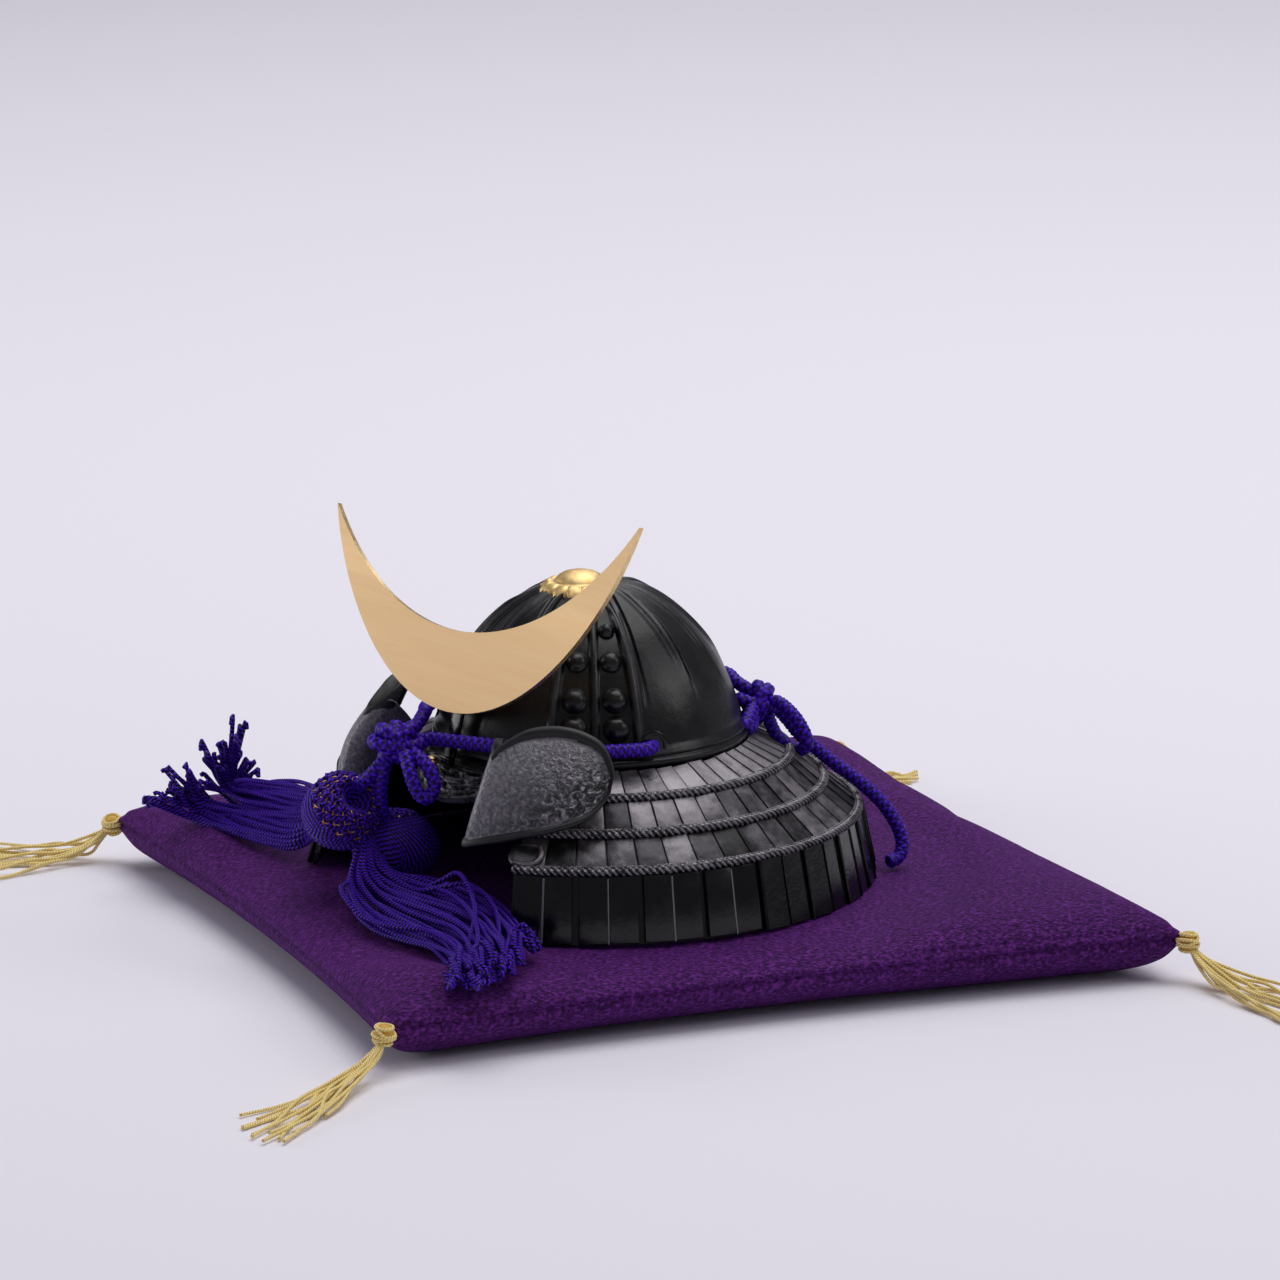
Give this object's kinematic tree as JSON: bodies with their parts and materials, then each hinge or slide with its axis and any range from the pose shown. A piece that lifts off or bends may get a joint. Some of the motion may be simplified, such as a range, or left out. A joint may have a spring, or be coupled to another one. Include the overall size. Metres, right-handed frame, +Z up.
{
  "type": "miniature kabuto samurai helmet on a square display cushion",
  "caption": "Miniature cast-iron kabuto helmet with a gilt crescent crest and violet braided cords, resting on a square purple crepe cushion with gold corner tassels.",
  "frame": {"origin": "on the surface that the cushion stands on, under the axis of the helmet's bowl", "axes": "+Z up, -Y towards the helmet's front, +X towards the wearer's left"},
  "size_m": [0.3954, 0.3796, 0.1369],
  "materials": {
    "black_iron": "satin black lacquered cast iron",
    "brushed_gold": "matt brushed gold plate with bright edges",
    "gilt": "satin gilt casting",
    "violet_braid": "round braided rayon cord",
    "violet_thread": "two-ply twisted rayon strands",
    "purple_crepe": "crepe weave",
    "gold_thread": "twisted gold thread"
  },
  "bodies": {
    "root": {"back_bow": "violet_braid", "back_cord": "violet_braid", "back_tail": "violet_braid", "bowl": "black_iron", "corner_tassel_back": "gold_thread", "corner_tassel_front": "gold_thread", "corner_tassel_left": "gold_thread", "corner_tassel_right": "gold_thread", "crest": "brushed_gold", "crest_post": "gilt", "crown_ornament": "gilt", "cushion": "purple_crepe", "drop_cord_front": "violet_braid", "drop_cord_side": "violet_braid", "front_bow": "violet_braid", "front_cord_left": "violet_braid", "front_cord_right": "violet_braid", "neck_row_1": "black_iron", "neck_row_2": "black_iron", "neck_row_3": "black_iron", "neck_row_4": "black_iron", "tassel_front": "violet_thread", "tassel_side": "violet_thread", "turn_back_left": "black_iron", "turn_back_right": "black_iron", "visor": "black_iron"}
  },
  "joints": []
}
